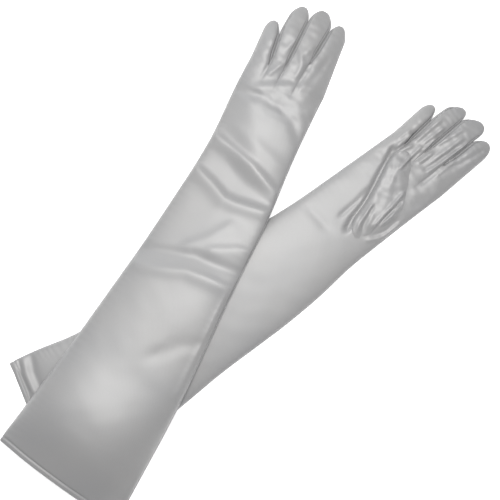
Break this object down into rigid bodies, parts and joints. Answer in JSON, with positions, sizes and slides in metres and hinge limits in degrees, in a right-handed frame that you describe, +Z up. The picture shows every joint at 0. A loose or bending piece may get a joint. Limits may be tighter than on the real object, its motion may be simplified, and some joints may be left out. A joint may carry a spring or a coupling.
{
  "type": "opera gloves",
  "caption": "Pair of long satin evening gloves, empty, lying flat and crossed, one back up and one palm up with its thumb folded in.",
  "frame": {"origin": "on the floor, under the point where the two gloves' centre lines cross", "axes": "+Z up; +Y towards the fingertips, midway between the two gloves; +X to the right seen from above with the fingertips away from the viewer"},
  "size_m": [0.2701, 0.6014, 0.0284],
  "materials": {
    "satin": "silver-grey satin",
    "fourchette": "satin strip",
    "hem": "folded satin hem",
    "thread": "polyester thread"
  },
  "bodies": {
    "right_glove": {"right_back_panel": "satin", "right_palm_panel": "satin", "right_hem_band": "hem", "right_hem_stitching": "thread", "right_little_side_seam": "thread", "right_index_side_seam": "thread", "right_finger_seams": "thread", "right_fourchette_index_middle": "fourchette", "right_fourchette_middle_ring": "fourchette", "right_fourchette_ring_little": "fourchette"},
    "right_thumb": {"right_thumb_outer": "satin", "right_thumb_inner": "satin", "right_thumb_seam": "thread"},
    "left_glove": {"left_back_panel": "satin", "left_palm_panel": "satin", "left_hem_band": "hem", "left_hem_stitching": "thread", "left_little_side_seam": "thread", "left_index_side_seam": "thread", "left_finger_seams": "thread", "left_fourchette_index_middle": "fourchette", "left_fourchette_middle_ring": "fourchette", "left_fourchette_ring_little": "fourchette"},
    "left_thumb": {"left_thumb_outer": "satin", "left_thumb_inner": "satin", "left_thumb_seam": "thread"}
  },
  "joints": [
    {"name": "left_glove_lift", "type": "slide", "parent": "right_glove", "child": "left_glove", "axis": [0, 0, 1], "range_m": [0, 0.15]},
    {"name": "left_thumb_fold", "type": "hinge", "parent": "left_glove", "child": "left_thumb", "pos_m": [-0.02513, 0.2843, 0.00345], "axis": [0.2164, -0.9763, 0], "range_deg": [0, 180]},
    {"name": "right_thumb_fold", "type": "hinge", "parent": "right_glove", "child": "right_thumb", "pos_m": [0.103, 0.29367, 0.01], "axis": [0.2164, 0.9763, 0], "range_deg": [0, 180]}
  ]
}
